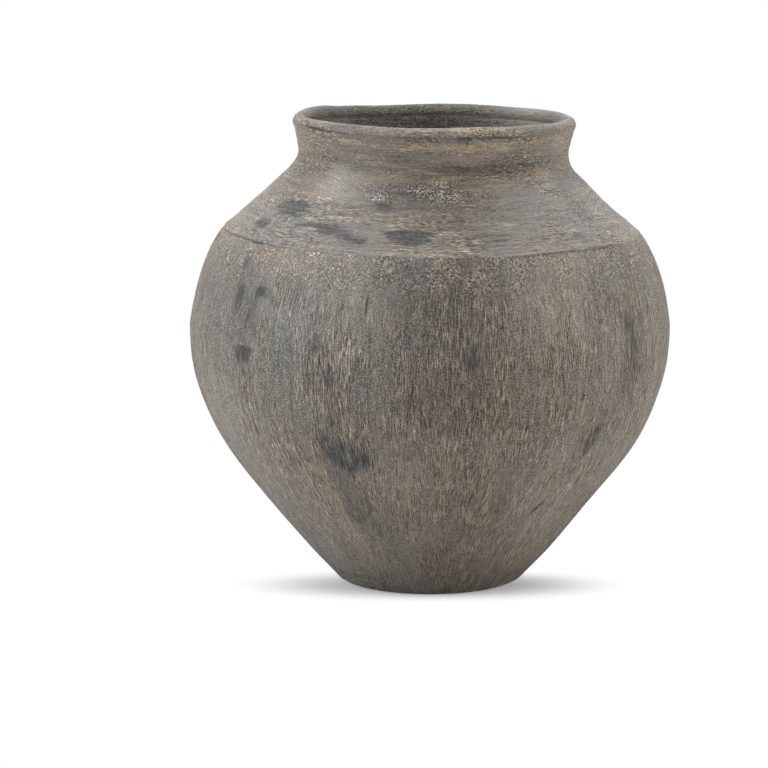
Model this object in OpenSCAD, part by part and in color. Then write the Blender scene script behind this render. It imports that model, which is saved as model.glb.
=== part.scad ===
// Hand-built clay storage jar: a wide round belly on a small flat foot, a conical
// shoulder set on a visible seam, and a short flared neck with a rolled rim.
// Millimetres. The foot stands on z = 0, centred on the origin, and the front faces -Y.

/* [Body] */
// Widest diameter of the belly
belly_w = 438.5; // [425:0.5:480]
// Height of the widest part of the belly
belly_h = 234.5; // [222:0.5:246]
// Diameter of the foot, before its edge is rounded
foot_w = 173; // [150:1:190]
// Lean of the wall where it leaves the foot, from upright
foot_lean = 40.4; // [36:0.2:45]
// Rounding of the foot's edge
foot_round = 6; // [3:0.5:9]
// How far the wall keeps that lean, as a share of the belly's height
foot_pull_share = 0.59; // [0.5:0.01:0.66]
// How far the wall below the belly keeps upright, as a share of the belly's height
belly_pull_share = 0.33; // [0.25:0.01:0.4]
// Thickness of the clay wall
wall = 11.5; // [8:0.5:14]

/* [Seam] */
// Height of the seam, on the axis, above the widest part of the belly
seam_rise = 86.3; // [78:0.1:98]
// Distance by which the seam stands in from the belly, on each side
seam_inset = 29.2; // [22:0.1:36]
// Lean of the body's wall where it meets the shoulder, from upright
seam_lean = 40; // [34:0.5:46]
// How far the wall above the belly keeps upright, as a share of the seam's rise
turn_pull_share = 0.1; // [0.05:0.01:0.25]
// How far the wall below the seam keeps the seam's lean, as a share of the seam's rise
seam_pull_share = 0.35; // [0.25:0.01:0.45]

/* [Base] */
// Thickness of the base slab
slab_t = 15; // [11:0.5:18]
// Outside height of the joint between the slab's turned-up edge and the wall
slab_edge_h = 18; // [14:0.5:24]
// Radius of the coil pressed into the inner corner of the floor
floor_coil_r = 20; // [17:0.5:23]
// Depth to which that coil's centre is pressed into the corner
floor_coil_sink = 7; // [5:0.5:9]

/* [Wall sections] */
// Outside height of the joint between the lower wall and the belly
lower_joint_h = 120; // [80:1:160]
// Depth of the tongue that keys each joint
key_h = 5; // [3:0.5:7]

/* [Crown] */
// Angle by which the crown leans down to the right
crown_lean = 0.76; // [0:0.02:1.5]
// Distance by which the crown sits off the body's axis, to the right
crown_shift = 1.2; // [0:0.1:2.5]
// Lean of the shoulder's cone, from upright
shoulder_lean = 48.9; // [45:0.1:53]
// Diameter at which the lines of the shoulder and the neck would cross
waist_w = 240.8; // [225:0.2:256]
// Radius of the hollow curve that joins them
waist_round = 26; // [18:0.5:32]
// Height of the neck from that crossing to the top of the rim
neck_h = 41.9; // [38:0.1:50]
// Angle by which the neck flares out, from upright
neck_flare = 11; // [7:0.5:14]
// Radius of the shoulder's inner coil
seam_coil_r = 11; // [8:0.5:14]
// Depth to which that coil's centre is pressed into the seam
seam_coil_sink = 4; // [2:0.5:6]

/* [Rim] */
// Radius of the rolled lip
lip_r = 6.5; // [6:0.25:8]
// Distance by which the lip stands out from the neck
lip_over = 0.6; // [0:0.1:1.2]
// Length of the rim coil's root below the middle of the lip
rim_root = 8; // [7:0.5:12]

/* [Hidden] */
$fn = 144;
cool_clay = "#76716b";
warm_clay = "#7a6c5f";
dark_clay = "#655d56";
// Steps along each wall section, round a coil, and round the foot's edge and the lip
section_steps = 14;
coil_steps = 40;
edge_steps = 8;
lip_steps = 20;
// Where the tongue of a keyed joint begins and ends across the wall
key_edge_share = 0.26;
// Place along the waist's curve where the neck is joined to the shoulder
neck_joint_share = 0.5;
// Half the angle of the coil left bare under the lip, where it rolls onto the neck
lip_wrap = 14;
// Overrun of cuts and of what is trimmed later
over = 14;
// Ways of facing straight down, and straight in towards the axis
face_down = -90;
face_in = 180;
// Halvings made to find the place of a height along the body
halvings = 30;

belly_r = belly_w / 2;
seam_h = belly_h + seam_rise;
seam_r = belly_r - seam_inset;

function unit(v) = v / norm(v);
// Direction in which a wall faces at an angle above level, and the way up it
function facing(a) = [cos(a), sin(a)];
function uphill(a) = [-sin(a), cos(a)];
function reversed(list) = [for (i = [len(list) - 1 : -1 : 0]) list[i]];
// Point and direction at share t along a curve drawn by four guide points
function curve_point(g, t) =
    pow(1 - t, 3) * g[0] + 3 * pow(1 - t, 2) * t * g[1]
    + 3 * (1 - t) * t * t * g[2] + pow(t, 3) * g[3];
function curve_way(g, t) =
    pow(1 - t, 2) * (g[1] - g[0]) + 2 * (1 - t) * t * (g[2] - g[1]) + t * t * (g[3] - g[2]);

// The body's outside is two such curves, from the foot to the belly and on to the seam
belly_point = [belly_r, belly_h];
foot_cut = foot_round * (1 - sin(foot_lean)) / cos(foot_lean);
foot_up = uphill(-foot_lean);
foot_top = [foot_w / 2, 0] + foot_cut * foot_up;
foot_c = foot_top - foot_round * facing(-foot_lean);
lower_guide = [
    foot_top,
    foot_top + foot_pull_share * belly_h * foot_up,
    belly_point - [0, belly_pull_share * belly_h],
    belly_point
];
seam_on_body = [seam_r, seam_h];
upper_guide = [
    belly_point,
    belly_point + [0, turn_pull_share * seam_rise],
    seam_on_body - seam_pull_share * seam_rise * uphill(seam_lean),
    seam_on_body
];
// Past the seam the wall runs on straight
seam_way = 3 * (upper_guide[3] - upper_guide[2]);

// Places along the body are counted 0 at the foot, 1 at the belly and 2 at the seam
function body_outside(u) = u < 1 ? curve_point(lower_guide, u)
    : u < 2 ? curve_point(upper_guide, u - 1)
    : seam_on_body + (u - 2) * seam_way;
function body_way(u) = unit(u < 1 ? curve_way(lower_guide, u)
    : u < 2 ? curve_way(upper_guide, u - 1)
    : seam_way);
// Way the body's outside faces at place u, and the point there d inside it
function body_face(u) = [body_way(u).y, -body_way(u).x];
function body_point(u, d = 0) = body_outside(u) - d * body_face(u);
// Place between a and b at which the surface d inside the body has height h
function place_at(h, d = 0, a = 0, b = 3, n = halvings) =
    n == 0 ? (a + b) / 2
    : body_point((a + b) / 2, d).y < h ? place_at(h, d, (a + b) / 2, b, n - 1)
    : place_at(h, d, a, (a + b) / 2, n - 1);
// Points along the body from place a to place b, d inside its surface
function body_run(a, b, d = 0) = [
    for (i = [0 : section_steps]) body_point(a + (b - a) * i / section_steps, d)
];
function circle_run(c, r, a, b, steps) = [
    for (i = [0 : steps]) c + r * facing(a + (b - a) * i / steps)
];
// Keyed joint line across a wall from its outside to its inside, with its tongue along way w
function key_line(o, i, w) = [
    o,
    o + (i - o) * key_edge_share,
    (o + i) / 2 + key_h * w,
    i + (o - i) * key_edge_share,
    i
];
function body_joint(u) = key_line(body_point(u), body_point(u, wall), -body_way(u));

edge_place = place_at(slab_edge_h);
lower_place = place_at(lower_joint_h);
belly_place = 1;
trim_place = place_at(seam_h + over);
floor_place = place_at(slab_t, wall);
floor_corner = body_point(floor_place, wall);
// Middle way between the floor and the wall, seen from inside
corner_way = unit([0, 1] - body_face(floor_place));

// The crown's outside: the shoulder's cone, the waist's hollow curve and the flared neck
waist_r = waist_w / 2;
seam_point = [seam_r, 0];
shoulder_up = uphill(shoulder_lean);
neck_cross = seam_point + (seam_r - waist_r) / sin(shoulder_lean) * shoulder_up;
crown_h = neck_cross.y + neck_h;
crown_total = crown_h + over;
neck_face = -neck_flare;
neck_up = uphill(neck_face);
waist_cut = waist_round * tan((shoulder_lean + neck_flare) / 2);
waist_c = neck_cross - waist_cut * shoulder_up + waist_round * facing(shoulder_lean);
neck_joint_face = shoulder_lean + (neck_face - shoulder_lean) * neck_joint_share;
// The neck's line runs on to the lip, whose middle stands inside it
lip_in = lip_r - lip_over;
lip_len = (neck_h - lip_r - lip_in * sin(neck_flare)) / cos(neck_flare);
neck_top = neck_cross + lip_len * neck_up;
lip_c = neck_top - lip_in * facing(neck_face);
rim_joint = neck_top - rim_root * neck_up;

// The seam's joint lies midway between the two walls that meet there
mitre_face = (seam_lean + shoulder_lean) / 2;
mitre_len = wall / cos(mitre_face - seam_lean);
seam_inside = seam_point - mitre_len * facing(mitre_face);
seam_joint = key_line(seam_point, seam_inside, -uphill(mitre_face));

// Points along the waist's curve from facing a to facing b, d inside the surface
function waist_run(a, b, d = 0) = [
    for (i = [0 : section_steps])
        waist_c - (waist_round + d) * facing(a + (b - a) * i / section_steps)
];
waist_joint = key_line(
    waist_c - waist_round * facing(neck_joint_face),
    waist_c - (waist_round + wall) * facing(neck_joint_face),
    -uphill(neck_joint_face)
);
neck_joint = key_line(rim_joint, rim_joint - wall * facing(neck_face), -neck_up);

slab_outline = concat(
    [[0, 0]],
    circle_run(foot_c, foot_round, face_down, -foot_lean, edge_steps),
    body_run(0, edge_place),
    body_joint(edge_place),
    reversed(body_run(floor_place, edge_place, wall)),
    [[0, slab_t]]
);
lower_outline = concat(
    reversed(body_joint(edge_place)),
    body_run(edge_place, lower_place),
    body_joint(lower_place),
    reversed(body_run(edge_place, lower_place, wall))
);
belly_outline = concat(
    reversed(body_joint(lower_place)),
    body_run(lower_place, belly_place),
    body_joint(belly_place),
    reversed(body_run(lower_place, belly_place, wall))
);
// Carried past the seam, where the crown's seat trims it
upper_outline = concat(
    reversed(body_joint(belly_place)),
    body_run(belly_place, trim_place),
    reversed(body_run(belly_place, trim_place, wall))
);
shoulder_inside = waist_run(shoulder_lean, neck_joint_face, wall);
shoulder_outline = concat(
    reversed(seam_joint),
    waist_run(shoulder_lean, neck_joint_face),
    waist_joint,
    reversed(shoulder_inside)
);
neck_outline = concat(
    reversed(waist_joint),
    waist_run(neck_joint_face, neck_face),
    neck_joint,
    reversed(waist_run(neck_joint_face, neck_face, wall))
);
rim_outline = concat(
    reversed(neck_joint),
    circle_run(lip_c, lip_r, neck_face - lip_wrap, face_in - neck_face + lip_wrap, lip_steps)
);
// Everything above the seam's joint, which the body's top is cut back from
seat_out = seam_point + over * facing(mitre_face);
seat_in = seam_inside - over * facing(mitre_face);
seat_outline = concat(
    [[0, seat_in.y], seat_in],
    reversed(seam_joint),
    [seat_out, [seat_out.x, crown_total], [0, crown_total]]
);
// Room inside the foot, and all that lies outside the room under the seam, for the coils
floor_space = concat(
    [[0, slab_t]],
    body_run(floor_place, edge_place, wall),
    body_run(edge_place, lower_place, wall),
    [[0, lower_joint_h]]
);
shoulder_mass = concat(
    reversed(seam_joint),
    [seat_out, [seat_out.x, crown_total], [shoulder_inside[section_steps].x, crown_total]],
    reversed(shoulder_inside)
);
body_mass = concat(
    body_run(belly_place, trim_place, wall),
    [[belly_r + over, seam_h + over], [belly_r + over, belly_h]]
);

module turned(outline) {
    rotate_extrude() polygon(outline);
}

module coil_section(c, r) {
    polygon(circle_run(c, r, 0, 360 - 360 / coil_steps, coil_steps - 1));
}

// Places the crown, which sits a little askew on the body
module crown_place() {
    translate([crown_shift, 0, seam_h]) rotate([0, crown_lean, 0]) children();
}

// Flat slab of clay with its edge turned up to take the wall
module base_slab() {
    color(dark_clay) turned(slab_outline);
}

// Coil pressed into the inner corner, over the slab's joint
module floor_coil() {
    color(dark_clay) rotate_extrude() intersection() {
        coil_section(floor_corner - floor_coil_sink * corner_way, floor_coil_r);
        polygon(floor_space);
    }
}

module lower_wall() {
    color(warm_clay) turned(lower_outline);
}

module belly_wall() {
    color(warm_clay) turned(belly_outline);
}

// Top section of the body, cut along the crown's seat
module upper_wall() {
    color(cool_clay) difference() {
        turned(upper_outline);
        crown_place() turned(seat_outline);
    }
}

// Cone that closes the body in towards the neck
module shoulder_ring() {
    color(cool_clay) crown_place() turned(shoulder_outline);
}

// Coil pressed along the inside of the seam, against both walls
module shoulder_coil() {
    color(dark_clay) difference() {
        crown_place() rotate_extrude() difference() {
            coil_section(seam_inside + seam_coil_sink * facing(mitre_face), seam_coil_r);
            polygon(shoulder_mass);
        }
        turned(body_mass);
    }
}

module neck_collar() {
    color(warm_clay) crown_place() turned(neck_outline);
}

// Rolled coil that finishes the mouth
module rim_coil() {
    color(cool_clay) crown_place() turned(rim_outline);
}

base_slab();
floor_coil();
lower_wall();
belly_wall();
upper_wall();
shoulder_ring();
shoulder_coil();
neck_collar();
rim_coil();
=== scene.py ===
import math

import bpy
import numpy as np
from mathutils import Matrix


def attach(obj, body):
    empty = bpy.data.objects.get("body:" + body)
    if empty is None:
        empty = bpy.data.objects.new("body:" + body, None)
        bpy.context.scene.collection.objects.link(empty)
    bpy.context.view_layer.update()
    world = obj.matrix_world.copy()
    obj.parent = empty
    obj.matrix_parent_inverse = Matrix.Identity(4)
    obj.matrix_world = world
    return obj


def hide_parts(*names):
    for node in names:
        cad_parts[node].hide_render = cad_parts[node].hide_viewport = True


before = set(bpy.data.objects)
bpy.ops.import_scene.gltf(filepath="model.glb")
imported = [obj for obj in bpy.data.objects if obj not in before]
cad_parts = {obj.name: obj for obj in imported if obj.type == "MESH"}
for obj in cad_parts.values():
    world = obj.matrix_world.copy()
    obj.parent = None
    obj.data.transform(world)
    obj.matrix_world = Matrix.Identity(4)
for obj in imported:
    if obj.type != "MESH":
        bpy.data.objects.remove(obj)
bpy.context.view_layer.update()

# Camera
# It stands in front of the jar, a little above it and well back, and looks slightly down at the
# upright axis. The small shift puts that axis where it stands in the picture.
scene = bpy.context.scene
scene.view_settings.view_transform = "Standard"
PICTURE = 768
AXIS_COLUMN = 429.4
SENSOR = 36.0
eye_back, eye_up, aim_up = 2.5, 0.6386, 0.1771
focal_pixels = 2769.0
camera = bpy.data.objects.new("camera", bpy.data.cameras.new("camera"))
camera.data.sensor_width = SENSOR
camera.data.lens = focal_pixels / PICTURE * SENSOR
camera.data.shift_x = (PICTURE / 2 - AXIS_COLUMN) / PICTURE
camera.data.clip_start = 0.1
camera.data.clip_end = 50.0
camera.location = (0.0, -eye_back, eye_up)
camera.rotation_euler = (math.radians(90.0) - math.atan2(eye_up - aim_up, eye_back), 0.0, 0.0)
scene.collection.objects.link(camera)
scene.camera = camera

# Foot slab
# The jar stands on a flat slab of coarse clay whose edge was turned up, scored and slipped to
# take the first wall. Its outer edge is the start of the wall's long curve, and is scuffed.
MM = 0.001
belly_r, belly_h = 219.25, 234.5
foot_w, foot_lean, foot_round = 173.0, math.radians(40.4), 6.0
foot_pull, belly_pull, turn_pull, seam_pull = 0.59, 0.33, 0.10, 0.35
seam_h, seam_r, seam_lean = 320.8, 190.05, math.radians(40.0)
wall, key_h, key_edge = 11.5, 5.0, 0.26
slab_t, slab_edge_h = 15.0, 18.0


def facing(lean):
    """Way that a wall faces which leans in by this angle from upright, as (out, up). A row of
    angles gives a row for each."""
    return np.stack([np.cos(lean), np.sin(lean)], -1)


def uphill(lean):
    """Way up that wall."""
    return np.array([-math.sin(lean), math.cos(lean)])


def guided(guide, steps):
    """Points of a curve drawn by four guide points, each with the way that it faces."""
    gone = np.linspace(0.0, 1.0, steps)[:, None]
    left = 1 - gone
    points = left**3 * guide[0] + 3 * left**2 * gone * guide[1]
    points = points + 3 * left * gone * gone * guide[2] + gone**3 * guide[3]
    way = left**2 * (guide[1] - guide[0]) + 2 * left * gone * (guide[2] - guide[1])
    way = way + gone * gone * (guide[3] - guide[2])
    way = way / np.linalg.norm(way, axis=1, keepdims=True)
    return np.concatenate([points, way[:, 1:], -way[:, :1]], 1)


def wall_curve(points, start):
    """A wall's outside, as points, ways that they face, and lengths along it."""
    steps = np.linalg.norm(np.diff(points[:, :2], axis=0), axis=1)
    return points[:, :2], points[:, 2:], np.concatenate([[0.0], np.cumsum(steps)]) + start


foot_cut = foot_round * (1 - math.sin(foot_lean)) / math.cos(foot_lean)
foot_top = np.array([foot_w / 2, 0.0]) + foot_cut * uphill(-foot_lean)
foot_c = foot_top - foot_round * facing(-foot_lean)
belly_point = np.array([belly_r, belly_h])
seam_point = np.array([seam_r, seam_h])
seam_rise = seam_h - belly_h
lower_guide = (
    foot_top,
    foot_top + foot_pull * belly_h * uphill(-foot_lean),
    belly_point - np.array([0.0, belly_pull * belly_h]),
    belly_point,
)
upper_guide = (
    belly_point,
    belly_point + np.array([0.0, turn_pull * seam_rise]),
    seam_point - seam_pull * seam_rise * uphill(seam_lean),
    seam_point,
)
LOWER_STEPS, UPPER_STEPS = 2000, 1000
body_points = [guided(lower_guide, LOWER_STEPS + 1), guided(upper_guide, UPPER_STEPS + 1)[1:]]
body = wall_curve(np.concatenate(body_points), foot_top[0])
belly_at, seam_at = body[2][LOWER_STEPS], body[2][-1]
# Lengths from which the patterns inside the wall and on the coils are counted
INNER_LAY, COIL_LAY = 1000.0, 2000.0
# An inner face has few rows, and is half as uneven as the outside
INNER_ROWS, INNER_SKIN = 12, 0.5


def length_at(curve, height, depth=0.0):
    """Length along a wall at which the surface that lies this deep in it has this height."""
    return np.interp(height, (curve[0] - depth * curve[1])[:, 1], curve[2])


def wall_rows(curve, start, end, rows, inner=False):
    """Rows of an outline along a wall, on its outside or its inner face."""
    along = np.linspace(start, end, rows)
    point = np.stack([np.interp(along, curve[2], values) for values in curve[0].T], 1)
    face = np.stack([np.interp(along, curve[2], values) for values in curve[1].T], 1)
    if inner:
        return plain_rows(point - wall * face, -face, along + INNER_LAY, INNER_SKIN, 1.0)
    return plain_rows(point, face, along, 1.0, 0.0)


def plain_rows(points, faces, along, skin, inside):
    """Rows of an outline: point, way it faces, length along, how uneven its skin is, and whether
    it is inside. A single value holds for all rows."""
    columns = (*points.T, *np.transpose(faces), along, skin, inside)
    return np.stack(np.broadcast_arrays(*columns), 1)


def joint_rows(outer, inner, way):
    """Hidden rows across a keyed joint, from its outer row to its inner row."""
    rows = []
    for share, lift in ((key_edge, 0.0), (0.5, key_h), (1 - key_edge, 0.0)):
        point = outer[:2] * (1 - share) + inner[:2] * share + lift * way
        rows.append((*point, 0.0, 0.0, outer[4], 0.0, 1.0))
    return np.array(rows)


def ring_outline(outer, top, inner, bottom):
    """Closed outline of a wall section, its last row being its first one again."""
    top_rows = joint_rows(outer[-1], inner[-1], top)
    bottom_rows = joint_rows(outer[0], inner[0], bottom)
    return np.concatenate([outer, top_rows, inner[::-1], bottom_rows[::-1], outer[:1]])


def way_at(row):
    """Way up a wall at one row of its outline."""
    return row[[3, 2]] * (1, -1)


def body_section(start, end, rows):
    """Outline of a section of the body, between two lengths along it."""
    outer = wall_rows(body, start, end, rows)
    inner = wall_rows(body, start, end, INNER_ROWS, inner=True)
    return ring_outline(outer, way_at(outer[-1]), inner, way_at(outer[0]))


# Kinds of node that the trees have many of
MATH, VECTOR_MATH = "ShaderNodeMath", "ShaderNodeVectorMath"
MAP_RANGE, MIX = "ShaderNodeMapRange", "ShaderNodeMix"
SOFT = {"interpolation_type": "SMOOTHSTEP"}


def add(tree, kind, given=None, **settings):
    """Adds a node with its settings, and its inputs as values or as links. Gives its outputs."""
    node = tree.nodes.new(kind)
    for name, value in settings.items():
        setattr(node, name, value)
    for key, value in (given or {}).items():
        if isinstance(value, bpy.types.NodeSocket):
            tree.links.new(value, node.inputs[key])
        else:
            node.inputs[key].default_value = value
    return node.outputs


def turning_tree():
    """Turns an outline round the upright axis into a closed ring with an uneven clay skin."""
    tree = bpy.data.node_groups.new("turned_clay_ring", "GeometryNodeTree")
    tree.is_modifier = True
    for name, kind in (
        ("Outline", "Geometry"),
        ("Columns", "Int"),
        ("Pattern Radius", "Float"),
        ("Unevenness", "Float"),
        ("Wash Depth", "Float"),
        ("Scratch Depth", "Float"),
        ("Wash Grain", "Vector"),
        ("Scratch Grain", "Vector"),
        ("Seed", "Float"),
        ("Clay", "Material"),
    ):
        tree.interface.new_socket(name, in_out="INPUT", socket_type="NodeSocket" + kind)
    tree.interface.new_socket("Ring", in_out="OUTPUT", socket_type="NodeSocketGeometry")
    given = tree.nodes.new("NodeGroupInput").outputs
    outline = given["Outline"]

    # A flat grid with a row for each point of the outline and a column for each step round
    rows = add(tree, "GeometryNodeAttributeDomainSize", {"Geometry": outline})["Point Count"]
    across = add(tree, MATH, {0: given["Columns"], 1: 1.0}, operation="ADD")[0]
    grid = add(tree, "GeometryNodeMeshGrid", {"Vertices X": across, "Vertices Y": rows})["Mesh"]
    index = add(tree, "GeometryNodeInputIndex")[0]
    part = add(tree, MATH, {0: index, 1: rows}, operation="DIVIDE")[0]
    column = add(tree, MATH, {0: part}, operation="FLOOR")[0]
    row = add(tree, MATH, {0: index, 1: rows}, operation="MODULO")[0]
    step = add(tree, MATH, {0: math.tau, 1: given["Columns"]}, operation="DIVIDE")[0]
    turn = add(tree, MATH, {0: column, 1: step, 2: math.radians(-90.0)}, operation="MULTIPLY_ADD")[0]

    # Each grid point takes its row's place, way and facts, and is turned about the axis
    sources = {"point": add(tree, "GeometryNodeInputPosition")[0]}
    for name in ("way", "facts"):
        sources[name] = add(
            tree, "GeometryNodeInputNamedAttribute", {"Name": name}, data_type="FLOAT_VECTOR"
        )["Attribute"]
    taken = {}
    for name, source in sources.items():
        taken[name] = add(
            tree,
            "GeometryNodeSampleIndex",
            {"Geometry": outline, "Value": source, "Index": row},
            data_type="FLOAT_VECTOR",
        )[0]
    facts = add(tree, "ShaderNodeSeparateXYZ", {0: taken["facts"]})
    flat_lay = add(tree, "ShaderNodeCombineXYZ", {0: given["Pattern Radius"], 2: facts[0]})[0]
    turned = {}
    for name, vector in (("point", taken["point"]), ("way", taken["way"]), ("lay", flat_lay)):
        turned[name] = add(
            tree, "ShaderNodeVectorRotate", {"Vector": vector, "Angle": turn}, rotation_type="Z_AXIS"
        )[0]

    # The skin moves in and out by three patterns: the hand's unevenness, the brush and scratches
    total = 0.0
    for vector, grain, depth, detail in (
        (turned["point"], (7.0, 7.0, 7.0), given["Unevenness"], 1.0),
        (turned["lay"], given["Wash Grain"], given["Wash Depth"], 2.0),
        (turned["lay"], given["Scratch Grain"], given["Scratch Depth"], 2.0),
    ):
        scaled = add(tree, VECTOR_MATH, {0: vector, 1: grain}, operation="MULTIPLY")[0]
        noise = add(
            tree,
            "ShaderNodeTexNoise",
            {"Vector": scaled, "W": given["Seed"], "Scale": 1.0, "Detail": detail},
            noise_dimensions="4D",
        )[0]
        level = add(tree, MATH, {0: noise, 1: 0.5}, operation="SUBTRACT")[0]
        total = add(tree, MATH, {0: level, 1: depth, 2: total}, operation="MULTIPLY_ADD")[0]
    total = add(tree, MATH, {0: total, 1: facts[1]}, operation="MULTIPLY")[0]
    lift = add(tree, VECTOR_MATH, {0: turned["way"], "Scale": total}, operation="SCALE")[0]
    ring = add(
        tree, "GeometryNodeSetPosition", {"Geometry": grid, "Position": turned["point"], "Offset": lift}
    )[0]
    for name, kind, value in (
        ("lay", "FLOAT_VECTOR", turned["lay"]),
        ("out", "FLOAT_VECTOR", turned["way"]),
        ("skin", "FLOAT", facts[1]),
        ("inside", "FLOAT", facts[2]),
    ):
        ring = add(
            tree,
            "GeometryNodeStoreNamedAttribute",
            {"Geometry": ring, "Name": name, "Value": value},
            data_type=kind,
            domain="POINT",
        )[0]

    # The grid's edges meet, and the joints' corners stay crisp
    meet, crisp = 0.01 * MM, math.radians(55.0)
    ring = add(tree, "GeometryNodeMergeByDistance", {"Geometry": ring, "Distance": meet})[0]
    ring = add(tree, "GeometryNodeSetShadeSmooth", {"Geometry": ring, "Shade Smooth": True})[0]
    bend = add(tree, "GeometryNodeInputMeshEdgeAngle")["Unsigned Angle"]
    corner = add(tree, MATH, {0: bend, 1: crisp}, operation="GREATER_THAN")[0]
    ring = add(
        tree,
        "GeometryNodeSetShadeSmooth",
        {"Geometry": ring, "Selection": corner, "Shade Smooth": False},
        domain="EDGE",
    )[0]
    ring = add(tree, "GeometryNodeRealizeInstances", {"Geometry": ring})[0]
    ring = add(tree, "GeometryNodeSetMaterial", {"Geometry": ring, "Material": given["Clay"]})[0]
    end = tree.nodes.new("NodeGroupOutput")
    tree.links.new(ring, end.inputs["Ring"])
    return tree


turning = turning_tree()


def turned_ring(name, outline, columns, clay, **sizes):
    """A ring of clay with this outline, as a plain mesh. Depths are in metres."""
    mesh = bpy.data.meshes.new(name)
    places = [(r * MM, 0.0, z * MM) for r, z in outline[:, :2]]
    mesh.from_pydata(places, [(row, row + 1) for row in range(len(places) - 1)], [])
    way = mesh.attributes.new("way", "FLOAT_VECTOR", "POINT")
    way.data.foreach_set("vector", np.insert(outline[:, 2:4], 1, 0.0, axis=1).ravel())
    facts = mesh.attributes.new("facts", "FLOAT_VECTOR", "POINT")
    facts.data.foreach_set("vector", (outline[:, 4:7] * (MM, 1.0, 1.0)).ravel())
    ring = bpy.data.objects.new(name, mesh)
    scene.collection.objects.link(ring)
    sizes = {
        "Columns": columns,
        "Pattern Radius": belly_r * MM,
        "Unevenness": 1.6 * MM,
        "Wash Depth": 0.9 * MM,
        "Scratch Depth": 0.45 * MM,
        "Wash Grain": (30.0, 30.0, 8.0),
        "Scratch Grain": (280.0, 280.0, 45.0),
        "Seed": 4.0,
        "Clay": clay,
        **sizes,
    }
    modifier = ring.modifiers.new("turning", "NODES")
    modifier.node_group = turning
    for item in turning.interface.items_tree:
        if item.in_out == "INPUT" and item.name in sizes:
            modifier[item.identifier] = sizes[item.name]
    depsgraph = bpy.context.evaluated_depsgraph_get()
    baked = bpy.data.meshes.new_from_object(
        ring.evaluated_get(depsgraph), preserve_all_data_layers=True, depsgraph=depsgraph
    )
    ring.modifiers.clear()
    ring.data = baked
    bpy.data.meshes.remove(mesh)
    baked.name = name
    return ring


def soft_step(x):
    """A smooth step from 0 to 1."""
    x = np.clip(x, 0.0, 1.0)
    return x * x * (3.0 - 2.0 * x)


def through(points, at, period=None):
    """Smooth values through given (place, value, ...) points, as one list for each value."""
    table = np.array(points, float)
    if period:
        shift = np.zeros(table.shape[1])
        shift[0] = period
        table = np.concatenate([table - shift, table, table + shift])
    at = np.clip(at, table[0, 0], table[-1, 0])
    row = np.clip(np.searchsorted(table[:, 0], at) - 1, 0, len(table) - 2)
    start, end = table[row].T, table[row + 1].T
    share = soft_step((at - start[0]) / (end[0] - start[0]))
    return [first * (1 - share) + last * share for first, last in zip(start[1:], end[1:])]


def read(mesh, name, kind):
    """An attribute of a mesh's points, as an array."""
    width = 3 if kind == "vector" else 1
    values = np.empty(len(mesh.vertices) * width, np.float32)
    mesh.attributes[name].data.foreach_get(kind, values)
    return values.reshape(-1, width) if width > 1 else values


def ramp(x, nothing, full):
    """How far values have come from where a thing is nothing to where it is full, from 0 to 1."""
    return soft_step((x - nothing) / (full - nothing))


# A mark has about half its strength at its edge, and marks that overlap add up within limits
HALF_FALL, FALL_POWER = 0.7, 1.5
LEAST_COVER, MOST_COVER = -1.8, 1.3


def patches(marks, turn, height, radius):
    """How strongly marks of (turn, height, width, tall, strength) cover points. A sixth number
    is the slant of a mark, in degrees."""
    cover = np.zeros(len(turn))
    for where, level, width, tall, strength, *slant in marks:
        x = np.radians((turn - where + 180.0) % 360.0 - 180.0) * radius
        y = height - level
        tilt = math.radians(slant[0] if slant else 0.0)
        across = 2.0 * (x * math.cos(tilt) - y * math.sin(tilt)) / width
        along = 2.0 * (x * math.sin(tilt) + y * math.cos(tilt)) / tall
        away = across**2 + along**2
        cover += strength * np.exp(-HALF_FALL * away**FALL_POWER)
    return np.clip(cover, LEAST_COVER, MOST_COVER)


# The crown sits a little askew on the body: it leans to the right and is shifted by a little
crown_lean, crown_shift = math.radians(0.76), 1.2
# How far the wall stands off the true round, as (height, sideways, wider)
wander = [
    (0, 0.5, -1.2),
    (30, 0.6, 0.4),
    (75, 0, -0.5),
    (130, 0.8, 1.6),
    (180, 0.4, 0.2),
    (240, 0.4, -0.7),
    (280, 1, -0.2),
    (325, 1.4, -0.8),
    (345, -0.3, -1.4),
    (373, 0, 0.8),
    (390, 1.4, -0.7),
    (425, 2, 0.1),
]
# How far the seam rises and falls round the jar, as (turn, rise), and how sharply it shows
seam_wave = [
    (-160, 0.8),
    (-120, -0.6),
    (-70, 1.8),
    (-54, 1.1),
    (-43, -1),
    (-22, -1),
    (-8, -0.4),
    (14, -0.9),
    (38, 0.9),
    (55, 0.6),
    (85, -1.4),
    (150, 0.4),
]
seam_depth = [
    (-150, 0.7),
    (-70, 1),
    (-52, 1),
    (-45, 0.3),
    (0, 0.1),
    (9, 0.6),
    (18, 0.2),
    (26, 0.8),
    (55, 0.9),
    (66, 0.4),
    (120, 0.7),
]
# Heights above the seam where a thing is nothing and where it is full
SEAM_LIP, SEAM_TUCK = (6.0, 0.0), (-4.5, -0.5)
# Heights where the painted shade along the seam's crevice and lip fades out, above and below
SEAM_SHADE_ABOVE, SEAM_SHADE_BELOW = (0.8, 0.0), (-1.8, -0.6)
RIM_WAVES, CROWN_LEANS, PEBBLE_BAND = (60.0, 100.0), (-60.0, -20.0), (-52.0, -10.0)
# The seam's waves die out this far from it, up and down
SEAM_WAVES = 45.0
# How far the lip stands out and the crevice sinks, and how dark their painted shade is
LIP_RISE, TUCK_DEPTH, DARK_ABOVE, DARK_BELOW = 0.4, 0.6, 0.4, 0.8
# Points up to this height above the seam count as the body's
JUST_OVER = 0.01
# Nearer to the axis than this, the wandering of the wall fades out
CORE_R = 40.0


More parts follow.
